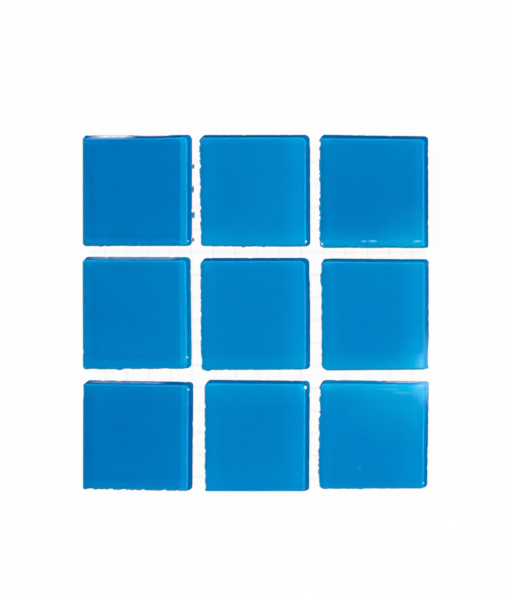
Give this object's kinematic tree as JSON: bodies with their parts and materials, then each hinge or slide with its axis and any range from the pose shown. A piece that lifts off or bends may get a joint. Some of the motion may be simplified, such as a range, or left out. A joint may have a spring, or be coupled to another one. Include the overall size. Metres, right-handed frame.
{
  "type": "glass mosaic tile sheet",
  "caption": "Flat square sheet of blue glass mosaic tiles with polished edges, spaced for grout and bonded face up on a white glass-fibre net.",
  "frame": {"origin": "centre of the sheet's outline, on the plane that the net rests on", "axes": "+Z out of the tiles' faces, +X along a row of tiles, +Y towards the first row"},
  "size_m": [0.0814, 0.0822, 0.0044],
  "materials": {
    "blue_glass": "clear fire-polished glass over an opaque azure colour coat on its back",
    "glass_fibre_net": "white woven glass fibre stiffened with size, matt"
  },
  "bodies": {
    "root": {"tile_row1_column1": "blue_glass", "tile_row1_column2": "blue_glass", "tile_row1_column3": "blue_glass", "tile_row2_column1": "blue_glass", "tile_row2_column2": "blue_glass", "tile_row2_column3": "blue_glass", "tile_row3_column1": "blue_glass", "tile_row3_column2": "blue_glass", "tile_row3_column3": "blue_glass", "mesh_backing": "glass_fibre_net"}
  },
  "joints": []
}
